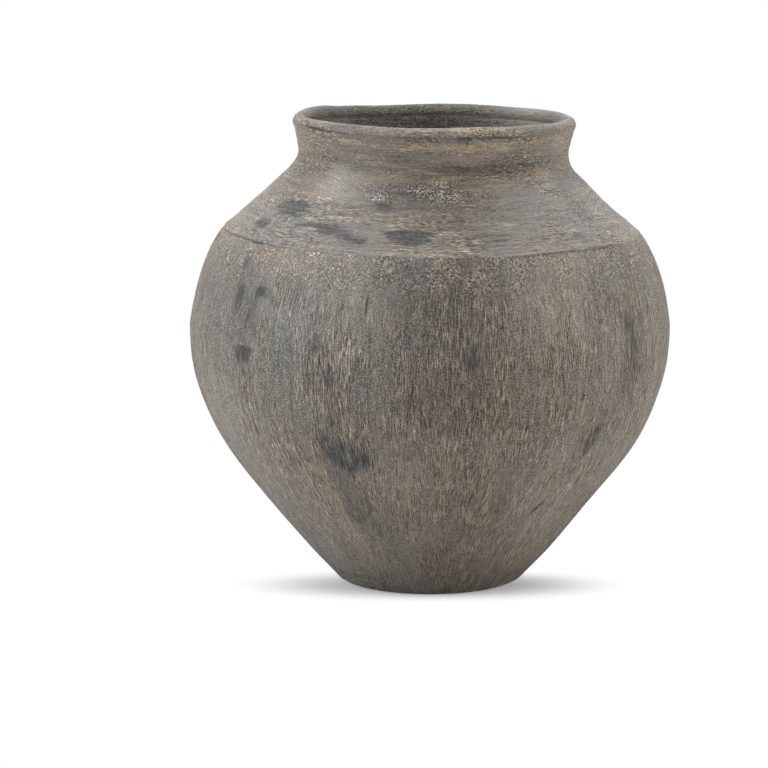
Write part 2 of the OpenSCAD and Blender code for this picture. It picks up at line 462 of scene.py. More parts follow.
def weather(ring, marks, lumps=(), base=0.0, wave=None):
    """Bends a ring to the hand-built form, and keeps its marks for its material. The heights of
    marks and lumps are above base. Wave gives the rise of the rim round the jar."""
    mesh = ring.data
    place = read(mesh, "position", "vector").astype(float) / MM
    out, skin = read(mesh, "out", "vector"), read(mesh, "skin", "value")
    outer = (read(mesh, "inside", "value") < 0.5).astype(float)
    turn = np.degrees(np.arctan2(place[:, 0], -place[:, 1]))
    radius = np.hypot(place[:, 0], place[:, 1])
    height = place[:, 2] - base
    above = place[:, 2] - seam_h
    below_seam = above < JUST_OVER
    covers = {}
    for name in ("soot_and_shade", "tan", "chalk", "pebble", "tone_and_light", "warmth_and_sheen"):
        covers[name] = patches(marks.get(name, ()), turn, height, radius)
        if name not in ("tone_and_light", "warmth_and_sheen"):
            covers[name] *= outer

    # The seam is a lip of the crown over a crevice in the body, and shade is painted dark along both
    seam = through(seam_depth, turn, 360.0)[0] * outer * np.minimum(skin, 1.0)
    lip, tuck = LIP_RISE * ramp(above, *SEAM_LIP), -TUCK_DEPTH * ramp(above, *SEAM_TUCK)
    step = np.where(below_seam, tuck, lip)
    rise = patches(lumps, turn, height, radius) * outer + seam * step
    place += out * rise[:, None]
    # Painted shade: the crevice and the crown's lip over it are darkened with the soot marks
    over, under = DARK_ABOVE * ramp(above, *SEAM_SHADE_ABOVE), DARK_BELOW * ramp(above, *SEAM_SHADE_BELOW)
    covers["soot_and_shade"] = np.maximum(covers["soot_and_shade"], seam * np.where(below_seam, under, over))
    aside, wider = through(wander, place[:, 2])
    place[:, :2] *= (1.0 + wider / np.maximum(radius, CORE_R))[:, None]
    place[:, 0] += aside
    place[:, 2] += through(seam_wave, turn, 360.0)[0] * ramp(np.abs(above), SEAM_WAVES, 0.0)
    if wave:
        place[:, 2] += through(wave, turn, 360.0)[0] * ramp(height, *RIM_WAVES)

    # The body's top takes the crown's lean gradually
    share = ramp(above, *CROWN_LEANS)[:, None]
    cosine, sine = math.cos(crown_lean), math.sin(crown_lean)
    across, deep, up = place.T
    up = up - seam_h
    leaned_up = up * cosine - across * sine + seam_h
    leaned = (across * cosine + up * sine + crown_shift, deep, leaned_up)
    place = place * (1.0 - share) + np.stack(leaned, 1) * share
    mesh.vertices.foreach_set("co", (place * MM).astype(np.float32).ravel())
    band = ramp(above, *PEBBLE_BAND) * below_seam * outer
    covers["pebble"] = np.maximum(covers["pebble"], band)
    for name, values in covers.items():
        layer = mesh.attributes.new(name, "FLOAT", "POINT")
        layer.data.foreach_set("value", values.astype(np.float32))
    for name in ("out", "skin"):
        mesh.attributes.remove(mesh.attributes[name])
    mesh.update()


def linear(colour):
    """Linear colour of an sRGB hex value."""
    parts = [int(colour[at : at + 2], 16) / 255 for at in (1, 3, 5)]
    return [part / 12.92 if part <= 0.04045 else ((part + 0.055) / 1.055) ** 2.4 for part in parts]


def fired_clay(
    name, cool, warm, pale, blotch, wash, streak, fine, sandy, bands, depth, relief, soot_and_shade_ramp
):
    """Unglazed clay with a brushed skin. Grains are in patterns per metre, round and up the wall. Sandy
    says how much grit shows between the scratches, bands and depth how strongly the widest and the
    finest pattern are coloured, and relief how high the finest one stands. The soot-and-shade ramp gives
    where the dark marks, soot and painted shade, begin and where they are full."""
    material = bpy.data.materials.new(name)
    material.use_nodes = True
    tree = material.node_tree
    tree.nodes.clear()
    lay = add(tree, "ShaderNodeAttribute", attribute_name="lay")["Vector"]
    place = add(tree, "ShaderNodeTexCoord")["Object"]
    painted = {
        key: add(tree, "ShaderNodeAttribute", attribute_name=key)["Fac"]
        for key in ("soot_and_shade", "tan", "chalk", "pebble", "inside", "tone_and_light", "warmth_and_sheen")
    }

    # Each pattern runs from -1 to 1, and reaches them where its noise is this far from the middle.
    # Real grit is finer, and is drawn about a millimetre wide so that it shows
    pattern = {}
    for key, vector, grain, detail, rough, twist, reach in (
        ("broad", place, (14.0, 14.0, 10.0), 3.0, 0.55, 0.0, 0.16),
        ("mottle", place, blotch, 5.0, 0.65, 0.4, 0.2),
        ("wash", lay, wash, 4.0, 0.65, 0.3, 0.2),
        ("streak", lay, streak, 3.0, 0.6, 0.3, 0.2),
        ("fine", lay, fine, 1.0, 0.4, 0.2, 0.15),
        ("grit", place, (1000.0, 1000.0, 1000.0), 1.0, 0.5, 0.4, 0.12),
        ("vein", lay, [2.0 * g if g == max(streak) else g for g in streak], 2.0, 0.5, 0.4, 0.2),
        ("torn", lay, [2.0 * g for g in streak], 2.0, 0.6, 0.4, 0.2),
        ("worm", place, (680.0, 680.0, 680.0), 2.0, 0.6, 0.9, 0.14),
    ):
        at = add(tree, "ShaderNodeMapping", {"Vector": vector, "Scale": grain})[0]
        noise = add(
            tree,
            "ShaderNodeTexNoise",
            {"Vector": at, "Scale": 1.0, "Detail": detail, "Roughness": rough, "Distortion": twist},
        )[0]
        pattern[key] = add(
            tree,
            MAP_RANGE,
            {"Value": noise, "From Min": 0.5 - reach, "From Max": 0.5 + reach, "To Min": -1.0},
            **SOFT,
        )[0]

    # The skin is pebbly in ragged patches
    pebbly = add(tree, MATH, {0: pattern["mottle"], 1: 0.7, 2: 1.0}, operation="MULTIPLY_ADD")[0]
    pebbly = add(tree, MATH, {0: pebbly, 1: painted["pebble"]}, operation="MULTIPLY")[0]
    pebbly = add(tree, MAP_RANGE, {"Value": pebbly, "From Min": 0.25, "From Max": 0.95}, **SOFT)[0]

    # Thin dark veins run where their pattern crosses its middle, and curl where it is pebbly
    vein = add(
        tree, MIX, {"Factor": pebbly, 2: pattern["vein"], 3: pattern["worm"]}, data_type="FLOAT"
    )[0]
    vein = add(tree, MATH, {0: vein}, operation="ABSOLUTE")[0]
    vein = add(
        tree, MAP_RANGE, {"Value": vein, "From Max": 0.28, "To Min": 1.0, "To Max": 0.0}, **SOFT
    )[0]

    # The scratches are deeper in some places than in others, and where the skin is pebbly they
    # give way to grit
    worn = add(tree, MATH, {0: pattern["broad"], 1: pattern["mottle"]})[0]
    worn = add(tree, MAP_RANGE, {"Value": worn, "From Min": -1.0, "To Min": 0.25}, **SOFT)[0]
    smooth = add(tree, MATH, {0: 1.0, 1: pebbly}, operation="SUBTRACT")[0]
    scratched = add(tree, MATH, {0: smooth, 1: worn}, operation="MULTIPLY")[0]
    pebbled = add(tree, MATH, {0: pebbly, 1: 1.5 - sandy, 2: sandy}, operation="MULTIPLY_ADD")[0]
    scratch = add(tree, MATH, {0: pattern["fine"], 1: scratched}, operation="MULTIPLY")[0]
    vein = add(tree, MATH, {0: vein, 1: worn}, operation="MULTIPLY")[0]
    grit = add(
        tree, MIX, {"Factor": pebbly, 2: pattern["grit"], 3: pattern["worm"]}, data_type="FLOAT"
    )[0]
    grit = add(tree, MATH, {0: grit, 1: pebbled}, operation="MULTIPLY")[0]

    # The tone starts from zones that hold both the clay's own tone and painted light and shade
    tone = add(tree, MATH, {0: painted["tone_and_light"], 1: 1.0}, operation="ADD")[0]
    for source, share in (
        (pattern["broad"], 0.07),
        (pattern["mottle"], 0.13),
        (pattern["wash"], 0.25 * bands),
        (pattern["streak"], 0.08),
        (pattern["torn"], 0.12),
        (scratch, depth),
        (grit, depth),
        (vein, -1.2 * depth),
    ):
        tone = add(tree, MATH, {0: source, 1: share, 2: tone}, operation="MULTIPLY_ADD")[0]
    darkest = 0.16
    tone = add(tree, MATH, {0: tone, 1: darkest}, operation="MAXIMUM")[0]

    # Cool grey and warm brown clay lie in broad patches and along the brush, with painted cool light and
    # sheen in some side patches, and the highest ridges are rubbed pale in places
    warmth = painted["warmth_and_sheen"]
    for source, share in (
        (pattern["broad"], 0.4),
        (pattern["wash"], 0.4 * bands),
        (pattern["mottle"], 0.45),
        (pattern["torn"], 0.15),
        (scratch, -0.15),
    ):
        warmth = add(tree, MATH, {0: source, 1: share, 2: warmth}, operation="MULTIPLY_ADD")[0]
    warmth = add(tree, MAP_RANGE, {"Value": warmth, "From Min": -1.0})[0]
    colour = add(
        tree, MIX, {"Factor": warmth, 6: (*linear(cool), 1.0), 7: (*linear(warm), 1.0)}, data_type="RGBA"
    )[2]
    rubbed = add(tree, MATH, {0: pattern["wash"], 1: scratch}, operation="MULTIPLY")[0]
    rubbed = add(tree, MATH, {0: rubbed, 1: pattern["wash"]}, operation="MULTIPLY")[0]
    colour = add(tree, MIX, {"Factor": rubbed, 6: colour, 7: (*linear(pale), 1.0)}, data_type="RGBA")[2]

    # Painted marks have torn edges, broken up by the mottle, the streaks and the grain
    ragged = 1.0
    for key, share in (("mottle", 0.6), ("streak", 0.4), ("torn", 0.4), ("grit", 0.35)):
        ragged = add(tree, MATH, {0: pattern[key], 1: share, 2: ragged}, operation="MULTIPLY_ADD")[0]
    crumbs = add(tree, MATH, {0: ragged, 1: pattern["worm"]}, operation="MULTIPLY")[0]
    for key, hue, low, high, torn in (
        ("tan", "#a6947e", 0.1, 1.1, ragged),
        # Soot, and painted shade in the seam, in grooves and under the lip, darken to charcoal
        ("soot_and_shade", "#4f504e", *soot_and_shade_ramp, ragged),
        ("chalk", "#cbc6bd", 0.35, 0.9, crumbs),
        # Inner faces are darker, partly the clay's own colour and partly painted shade inside the jar
        ("inside", "#746d65", 0.0, 1.0, 1.0),
    ):
        mark = add(tree, MATH, {0: painted[key], 1: torn}, operation="MULTIPLY")[0]
        mark = add(tree, MAP_RANGE, {"Value": mark, "From Min": low, "From Max": high}, **SOFT)[0]
        colour = add(tree, MIX, {"Factor": mark, 6: colour, 7: (*linear(hue), 1.0)}, data_type="RGBA")[2]
    colour = add(tree, VECTOR_MATH, {0: colour, "Scale": tone}, operation="SCALE")[0]

    # The same patterns stand up as relief
    height = 0.0
    for source, share in (
        (pattern["mottle"], 0.15),
        (pattern["streak"], 0.25),
        (scratch, relief),
        (grit, 0.7 * relief),
        (vein, -relief),
    ):
        height = add(tree, MATH, {0: source, 1: share, 2: height}, operation="MULTIPLY_ADD")[0]
    normal = add(tree, "ShaderNodeBump", {"Height": height, "Strength": 1.0, "Distance": MM})[0]
    clay = add(
        tree,
        "ShaderNodeBsdfPrincipled",
        {"Base Color": colour, "Roughness": 0.65, "IOR": 1.5, "Normal": normal},
    )[0]
    add(tree, "ShaderNodeOutputMaterial", {"Surface": clay})
    return material


# Unglazed earthenware, scraped and brushed upright while leather-hard: matt, grey-brown, with
# fine upright scratches. They are drawn nearly a millimetre wide, so that they show
body_clay = fired_clay(
    "earthenware_brushed_upright",
    cool="#928f88",
    warm="#a08e79",
    pale="#b0aaa0",
    blotch=(60.0, 60.0, 40.0),
    wash=(55.0, 55.0, 9.0),
    streak=(230.0, 230.0, 26.0),
    fine=(1250.0, 1250.0, 115.0),
    sandy=0.8,
    bands=0.4,
    depth=0.56,
    relief=1.0,
    soot_and_shade_ramp=(0.1, 1.3),
)
BODY_COLUMNS = 1200
# The floor is level at its middle and grows uneven outwards
FLOOR_FADE = 60.0
edge_at, floor_at = length_at(body, slab_edge_h), length_at(body, slab_t, wall)
edge_outer = wall_rows(body, foot_top[0], edge_at, rows=12)
edge_inner = wall_rows(body, floor_at, edge_at, rows=5, inner=True)
ROUND_ROWS, UNDER_ROWS, FLOOR_ROWS = 10, 12, 14
round_way = np.linspace(-math.pi / 2, -foot_lean, ROUND_ROWS)[:-1]
round_faces = facing(round_way)
under_r = np.linspace(0.0, foot_c[0], UNDER_ROWS)[:-1]
floor_r = np.linspace(edge_inner[0, 0], 0.0, FLOOR_ROWS)[1:]
slab_outline = np.concatenate(
    [
        plain_rows(np.stack([under_r, 0 * under_r], 1), (0.0, -1.0), under_r, 0.0, 0.0),
        plain_rows(
            foot_c + foot_round * round_faces,
            round_faces,
            foot_c[0] + foot_round * (round_way + math.pi / 2),
            np.linspace(0.0, 1.0, len(round_way)),
            0.0,
        ),
        edge_outer,
        joint_rows(edge_outer[-1], edge_inner[-1], way_at(edge_outer[-1])),
        edge_inner[::-1],
        plain_rows(
            np.stack([floor_r, 0 * floor_r + slab_t], 1),
            (0.0, 1.0),
            floor_r + INNER_LAY,
            np.minimum(INNER_SKIN, floor_r / FLOOR_FADE),
            1.0,
        ),
    ]
)
slab = turned_ring("jar_foot", slab_outline, BODY_COLUMNS, body_clay)
weather(slab, {"chalk": [(-38, 12, 40, 12, 0.7), (25, 8, 20, 5, 0.5)]})
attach(slab, "root")
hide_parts("base_slab")

# Floor coil
# A coil of the same clay was pressed into the corner inside the foot, over the slab's joint. It
# is darker than the outside, dusty, and dented by the fingers that pressed it.
floor_coil_r, floor_coil_sink = 20.0, 7.0


def coil_outline(centre, radius, way, in_room, corner, rows=26):
    """Outline of a coil pressed into a corner: the bare part of its circle, then the corner."""
    bare = []
    far_round = 2.8
    search = np.linspace(0.0, far_round, 1401)
    for side in (1.0, -1.0):
        turns = math.atan2(way[1], way[0]) + side * search
        clear = in_room(centre + radius * facing(turns))
        bare.append(turns[np.argmin(clear) - 1])
    turns = np.linspace(bare[1], bare[0], rows)
    faces = facing(turns)
    fade_rows = 3.0
    skin = np.minimum(1.0, np.minimum(np.arange(rows), np.arange(rows)[::-1]) / fade_rows)
    arc = plain_rows(centre + radius * faces, faces, COIL_LAY + radius * turns, skin, 1.0)
    hidden = plain_rows(np.array([corner]), (0.0, 0.0), COIL_LAY, 0.0, 1.0)
    return np.concatenate([arc, hidden, arc[:1]])


def clearance(curve, points):
    """How far points stand inside the inner face of a wall, by some of its points."""
    every = 20
    faces = curve[1][::every]
    inner = curve[0][::every] - wall * faces
    gaps = points[:, None] - inner[None]
    nearest = np.argmin((gaps**2).sum(2), 1)
    return -(gaps[np.arange(len(points)), nearest] * faces[nearest]).sum(1)


# The same earthenware where no brush or weather reached it: darker, duller and dusty
inner_clay = fired_clay(
    "earthenware_pressed_inside",
    cool="#7a756e",
    warm="#7a6c5f",
    pale="#8f8a82",
    blotch=(60.0, 60.0, 60.0),
    wash=(20.0, 20.0, 20.0),
    streak=(60.0, 60.0, 120.0),
    fine=(300.0, 300.0, 500.0),
    sandy=0.8,
    bands=0.4,
    depth=0.2,
    relief=0.3,
    soot_and_shade_ramp=(0.12, 1.0),
)
# Dents of the fingers that pressed a coil
DENTS = {"Wash Depth": 2.0 * MM, "Wash Grain": (45.0, 45.0, 60.0), "Scratch Depth": 0.4 * MM}
floor_corner = edge_inner[0, :2]
corner_way = np.array([0.0, 1.0]) + edge_inner[0, 2:4]
corner_way = corner_way / np.linalg.norm(corner_way)
floor_coil = turned_ring(
    "jar_floor_coil",
    coil_outline(
        floor_corner - floor_coil_sink * corner_way,
        floor_coil_r,
        corner_way,
        lambda points: (clearance(body, points) > 0) & (points[:, 1] > slab_t),
        floor_corner,
    ),
    columns=400,
    clay=inner_clay,
    **DENTS,
)
weather(floor_coil, {})
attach(floor_coil, "root")
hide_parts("floor_coil")

# Lower wall
# The first wall section leans out from the foot. It was scraped upwards, and carries smoke marks
# and runs of buff slip.
lower_joint_h = 120.0
lower_at = length_at(body, lower_joint_h)
# Turns are in degrees from the front. Marks past 90 are on the back, and are made up to match
lower_marks = {}
# Tone zones: the clay's own tone, painted light on the sides and low down, painted shade at the front
lower_marks["tone_and_light"] = [
    (8, 262, 110, 140, -0.16),
    (-26, 268, 80, 60, 0.1),
    (50, 90, 60, 90, 0.14),
    (-7, 130, 60, 50, 0.2),
    (-42, 45, 60, 70, 0.28),
    (52, 35, 40, 50, 0.2),
    (-68, 190, 90, 120, 0.16),
    (0, 95, 160, 100, 0.1),
    (-32, 65, 60, 80, 0.16),
    (8, 215, 110, 110, -0.12),
    (-2, 122, 80, 1.6, 0.4),
    (-48, 120, 80, 110, 0.38),
    (-30, 100, 44, 50, 0.15),
    (0, 165, 110, 40, 0.16),
    (38, 90, 80, 110, 0.25),
    (11, 243, 36, 40, 0.14),
    (-17, 288, 30, 50, 0.12),
    (-52, 175, 60, 60, 0.1),
    (0, 268, 60, 60, -0.15),
    (36, 262, 40, 44, 0.2),
    (68, 190, 90, 120, 0.14),
]
# Hue zones: the clay's own hue, and painted cool light and sheen at the left and high on the sides
lower_marks["warmth_and_sheen"] = [
    (8, 150, 170, 220, 0.35),
    (-24, 236, 80, 90, -0.4),
    (22, 215, 90, 50, 0.25),
    (-50, 130, 90, 120, -0.36),
    (50, 85, 60, 90, -0.3),
    (-44, 270, 140, 130, -0.42),
    (-45, 70, 80, 90, -0.25),
    (58, 295, 110, 60, -0.5),
    (-32, 290, 70, 60, -0.5),
    (48, 312, 60, 30, -0.3),
    (-18, 150, 34, 50, -0.4),
    (38, 190, 50, 60, 0.3),
]
lower_marks["soot_and_shade"] = [
    (-24.5, 158, 30, 20, 0.82, 20),
    (-25, 146, 12, 34, 0.2, -12),
    (-20, 142.5, 30, 18, 0.72, 12),
    (-18, 152, 44, 32, 0.35),
    (-24, 124, 22, 44, 0.4, -8),
    (-23, 98, 28, 50, 0.4, -8),
    (-18, 76, 44, 52, 0.34),
    (20, 135.5, 20, 30, 0.5, 10),
    (21, 105.5, 18, 34, 0.45, 10),
    (44.5, 164.5, 14, 40, 0.6, 14),
    (42.5, 148.5, 16, 22, 0.5, 20),
    (41.5, 124, 10, 14, 0.5, 20),
    (35, 88.5, 3, 22, 0.9, 35),
    (14, 72.5, 10, 14, 0.5),
    (17.5, 41, 14, 14, 0.45),
    (-47.5, 166, 14, 13, 0.45),
    (-50, 146, 60, 36, 0.15),
    (-5.5, 152, 36, 10, 0.35),
    (105, 140, 30, 44, 0.5, 10),
    (160, 150, 22, 50, 0.6, -8),
    (-150, 110, 40, 40, 0.5),
    (-105, 170, 18, 26, 0.6),
]
lower_marks["tan"] = [
    (-31.5, 129, 26, 52, 0.7, -10),
    (-26, 76.5, 12, 70, 0.7, -4),
    (-2.5, 32.5, 5, 18, 0.6),
    (130, 120, 30, 80, 0.6, 6),
    (-170, 140, 20, 50, 0.6),
]
lower_marks["chalk"] = [(27, 65, 4, 1.5, 0.9), (48.5, 176, 8, 3, 0.7), (-38, 17.5, 40, 9, 0.6)]
# These dents have dark marks of the same size over them in the soot-and-shade list
lower_lumps = [(35, 88.5, 2.6, 22, -1, 35), (-25, 146, 14, 34, -0.6, -12)]
lower = turned_ring("jar_lower_wall", body_section(edge_at, lower_at, rows=60), BODY_COLUMNS, body_clay)
weather(lower, lower_marks, lower_lumps)
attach(lower, "root")
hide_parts("lower_wall")

# Belly wall
# The second section bulges out to the jar's widest part. A small ragged spot of soot and a raised
# lump of clay with a hollow beside it mark its front.
belly_marks = {"tone_and_light": lower_marks["tone_and_light"], "warmth_and_sheen": lower_marks["warmth_and_sheen"]}
belly_marks["soot_and_shade"] = lower_marks["soot_and_shade"] + [
    (-49, 229.5, 10, 14, 1.3),
    (-46.5, 230.5, 9, 13, 1.3),
    (-47.5, 234, 18, 6, 1.1),
    (-52, 243, 7, 12, 0.45),
    (54, 224.5, 28, 60, 0.6),
    (53, 258, 14, 36, 0.55),
    (39, 262, 16, 60, 0.3),
    (9.5, 241.5, 18, 36, 0.6),
    (120, 220, 20, 50, 0.6),
    (-130, 235, 36, 30, 0.6),
    (175, 200, 14, 30, 0.7, 12),
]
belly_marks["tan"] = lower_marks["tan"] + [
    (36.5, 228, 8, 30, 0.6),
    (60, 240, 14, 110, 0.35),
    (28, 270, 14, 50, 0.5),
    (95, 240, 22, 50, 0.6),
    (-95, 215, 16, 60, 0.6, 5),
]
belly_marks["chalk"] = [(37.5, 224, 2, 9, 1, 5), (48.5, 176, 8, 3, 0.7), (38.5, 198.5, 4, 7, 1)]
belly_lumps = [
    (38.5, 198.5, 5, 7, 1.8),
    (37, 197.5, 3, 8, -0.9),
    (-25, 146, 14, 34, -0.6, -12),
    (-47.5, 230, 12, 12, -0.7),
]
belly = turned_ring("jar_belly_wall", body_section(lower_at, belly_at, rows=65), BODY_COLUMNS, body_clay)
weather(belly, belly_marks, belly_lumps)
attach(belly, "root")
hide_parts("belly_wall")

# Upper wall
# The third section closes in from the belly to the seam. The scraping stops a few centimetres
# below the seam and leaves a pebbly band, with a short crack in it.
upper_marks = {}
# More tone zones, with painted light high on the sides and painted shade just below the seam
upper_marks["tone_and_light"] = belly_marks["tone_and_light"] + [
    (-28, 286, 110, 60, 0.22),
    (28, 275, 46, 60, 0.22),
    (4, 300, 56, 46, -0.18),
    (12, 317, 46, 22, -0.2),
    (-46, 317, 160, 26, 0.2),
    (-40, 305, 80, 36, 0.12),
    (38, 312, 50, 24, 0.2),
    (0, 306, 1400, 40, 0.07),
]
upper_marks["warmth_and_sheen"] = belly_marks["warmth_and_sheen"] + [(12, 299.5, 50, 34, 0.2)]
upper_marks["soot_and_shade"] = belly_marks["soot_and_shade"] + [
    (-51, 277, 20, 18, 0.38),
    (-45.5, 262, 24, 44, 0.24),
    (-50, 285, 50, 70, 0.28),
    (17, 305, 14, 18, 0.5),
    (-43, 285, 18, 9, 0.85),
    (-53, 303.5, 10, 8, 0.65),
    (-8, 294.5, 46, 46, 0.4),
    (-4.5, 312.5, 18, 12, 0.6),
    (-15, 282, 2, 20, 0.9),
    (14, 284.5, 5, 6, 0.9),
    (100, 290, 30, 20, 0.6),
    (-160, 300, 40, 18, 0.6),
    (-110, 280, 20, 24, 0.5),
]
upper_marks["tan"] = belly_marks["tan"] + [
    (58, 284.5, 26, 34, 0.4),
    (-51.5, 316.5, 14, 10, 0.6),
    (150, 290, 50, 24, 0.6),
]
upper_marks["chalk"] = [
    (-38.5, 318.5, 2.5, 2, 1.3),
    (-43, 320, 8, 3, 0.8),
    (-32, 319, 14, 4, 0.75),
    (37.5, 224, 2, 9, 1, 5),
]
# The crack and the dent have dark marks over them in the soot-and-shade list
upper_lumps = [(-15, 282, 2.2, 20, -0.9), (-47.5, 230, 12, 12, -0.7)]
crown_start_lean = math.radians(48.9)
mitre_lean = (seam_lean + crown_start_lean) / 2
mitre_len = wall / math.cos(mitre_lean - seam_lean)
seam_inside = seam_point - mitre_len * facing(mitre_lean)
mitre_slip = mitre_len * math.sin(crown_start_lean - mitre_lean)
upper_outer = wall_rows(body, belly_at, seam_at, rows=65)
upper_inner = wall_rows(body, belly_at, seam_at - mitre_slip, INNER_ROWS, inner=True)
upper = turned_ring(
    "jar_upper_wall",
    ring_outline(upper_outer, -uphill(mitre_lean), upper_inner, way_at(upper_outer[0])),
    BODY_COLUMNS,
    body_clay,
)
weather(upper, upper_marks, upper_lumps)
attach(upper, "root")
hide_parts("upper_wall")

# Shoulder ring
# A cone of clay closes the body in to the waist of the neck. It was set on the body's edge and
# wiped round with wet hands, so its marks run level, and smoke has blotched it above the seam.
waist_r, waist_round = 120.4, 26.0
neck_h, neck_lean = 41.9, math.radians(-11.0)
lip_r, lip_over, rim_root, lip_wrap = 6.5, 0.6, 8.0, math.radians(14.0)
shoulder_up = uphill(crown_start_lean)
neck_up = uphill(neck_lean)
neck_cross = seam_point + (seam_r - waist_r) / math.sin(crown_start_lean) * shoulder_up
waist_cut = waist_round * math.tan((crown_start_lean - neck_lean) / 2)
waist_c = neck_cross - waist_cut * shoulder_up + waist_round * facing(crown_start_lean)
lip_in = lip_r - lip_over
lip_len = (neck_h - lip_r - lip_in * math.sin(-neck_lean)) / math.cos(neck_lean)
neck_top = neck_cross + lip_len * neck_up
lip_c = neck_top - lip_in * facing(neck_lean)
cone_end = neck_cross - waist_cut * shoulder_up
CONE_STEPS, WAIST_STEPS, NECK_STEPS = 800, 800, 400
waist_faces = facing(np.linspace(crown_start_lean, neck_lean, WAIST_STEPS + 1))
cone = np.linspace(seam_point, cone_end, CONE_STEPS + 1)
cone_faces = np.broadcast_to(facing(crown_start_lean), cone.shape)
neck_line = np.linspace(neck_cross + waist_cut * neck_up, neck_top, NECK_STEPS + 1)
neck_faces = np.broadcast_to(facing(neck_lean), neck_line.shape)
crown_points = [
    np.concatenate([cone, cone_faces], 1)[:-1],
    np.concatenate([waist_c - waist_round * waist_faces, waist_faces], 1),
    np.concatenate([neck_line, neck_faces], 1)[1:],
]
crown = wall_curve(np.concatenate(crown_points), seam_at)
waist_joint_at = crown[2][CONE_STEPS + WAIST_STEPS // 2]
rim_joint_at = crown[2][-1] - rim_root
CROWN_COLUMNS = 1100
# Patterns of a skin that was wiped round
LEVEL = {
    "Wash Grain": (9.0, 9.0, 60.0),
    "Scratch Grain": (60.0, 60.0, 300.0),
    "Wash Depth": 1.1 * MM,
    "Scratch Depth": 0.7 * MM,
}
# The same earthenware wiped round with wet hands, its skin crusted pale in places: level streaks
# some centimetres long, and a warmer grey
crown_clay = fired_clay(
    "earthenware_wiped_round",
    cool="#8a8782",
    warm="#938370",
    pale="#b7b2aa",
    blotch=(26.0, 26.0, 80.0),
    wash=(12.0, 12.0, 120.0),
    streak=(16.0, 16.0, 380.0),
    fine=(160.0, 160.0, 1100.0),
    sandy=0.55,
    bands=0.65,
    depth=0.42,
    relief=0.6,
    soot_and_shade_ramp=(0.42, 0.84),
)
crown_marks = {}
# Tone zones: the clay's own tone, painted light and shade, and a painted sheen on the shoulder's sides
crown_marks["tone_and_light"] = [
    (0, 84, 1200, 26, 0.32),
    (5, 71, 150, 22, -0.1),
    (44, 80, 60, 26, -0.22),
    (3, 44, 90, 30, -0.24),
    (-34, 48, 60, 26, 0.38),
    (40, 47, 80, 30, 0.25),
    (12, 86, 110, 22, 0.15),
    (22, 64, 90, 12, -0.22),
    # Painted light and shade inside the mouth: darker on its back wall, paler under the lip's back
    (180, 90, 250, 70, -0.22),
    (180, 102, 300, 6, -0.3),
    (170, 96, 130, 9, 0.35),
    (180, 85.5, 260, 15, -0.52),
    (-38, 102, 70, 8, -0.3),
    (-42, 82, 70, 30, -0.2),
    (40, 101, 70, 10, -0.16),
    (10, 93, 130, 6, -0.18),
    (10, 50, 100, 12, -0.12),
    (-4.5, 65, 46, 1.6, 0.5, 9),
    (-41, 52, 50, 20, 0.62),
    (3, 24, 50, 16, -0.1),
    (-36, 24, 60, 34, 0.16),
    (-8, 45, 60, 16, -0.15),
    (18, 28, 60, 24, -0.2),
    (32, 68, 70, 16, -0.25),
    (10, 12, 60, 18, -0.18),
    # Painted light on the inner wall at the right of the mouth, where the left light reaches
    (135, 85, 90, 60, 0.7),
]
# Hue zones: the clay's own hue, and a painted cool grey sheen on the shoulder's sides
crown_marks["warmth_and_sheen"] = [
    (0, 82, 1200, 40, 0.3),
    (5, 55, 120, 36, 0.6),
    (10, 62, 70, 22, 0.4),
    (-48, 26, 130, 50, -0.5),
    (-34, 12, 90, 34, -0.4),
    (-41, 52, 44, 18, -0.35),
    (54, 28, 120, 60, -0.85),
    (0, 103.5, 1200, 3, -0.8),
]
crown_marks["soot_and_shade"] = [
    (-50.5, 28.5, 46, 14, 0.9),
    (-59, 12, 24, 12, 1),
    (-41, 18, 23, 6, 0.75),
    (-29, 16, 42, 8, 1.2, 6),
    (-21.5, 10.5, 18, 5, 1.2),
    (-6.5, 13.5, 34, 10, 1.2),
    (-6, 17, 40, 3, 0.8),
    (-15, 34.5, 22, 6.5, 1.1, 8),
    # Painted shade in the groove under the lip at the left, where the rim is dented too
    (-51, 95, 60, 2.6, 0.9, 2.9),
    (46, 10.5, 17, 6, 0.9),
    (39.5, 14, 14, 6, 0.5),
    (9, 66, 128, 9, 0.45),
    (-15, 77.5, 60, 3, 0.6),
    (-11, 73.5, 50, 3, 0.55),
    (-18, 81, 40, 2, 0.5),
    # Painted shade under the round of the lip
    (17, 94, 85, 2, 0.8),
    (-18, 95, 80, 1.6, 0.6),
    (-57, 80.5, 35, 2, 0.7, 5),
    (110, 20, 40, 10, 0.7),
    (150, 28, 50, 12, 0.6),
    (-150, 15, 34, 9, 0.8),
    (-100, 30, 30, 10, 0.5),
]
crown_marks["tan"] = [
    (12, 99.5, 120, 5, 0.9),
    (5, 85.5, 84, 7, 1.2),
    (38, 87, 90, 7, 0.9, -4),
    (-35, 87, 30, 5, 0.8),
    (12.5, 58, 64, 5, 1.2),
    (49.5, 61, 22, 6, 1.2),
    (140, 80, 120, 8, 0.6),
    (-140, 70, 90, 10, 0.6),
]
crown_marks["pebble"] = [
    (-41, 51, 56, 22, 0.8),
    (-20.5, 44.5, 40, 16, 0.9),
    (-2, 47, 80, 24, 1),
    (30, 44, 60, 16, 0.7),
    (-60, 50, 60, 18, 0.6),
    (90, 50, 90, 18, 0.8),
    (-120, 45, 110, 18, 0.8),
    (170, 48, 90, 22, 0.8),
]
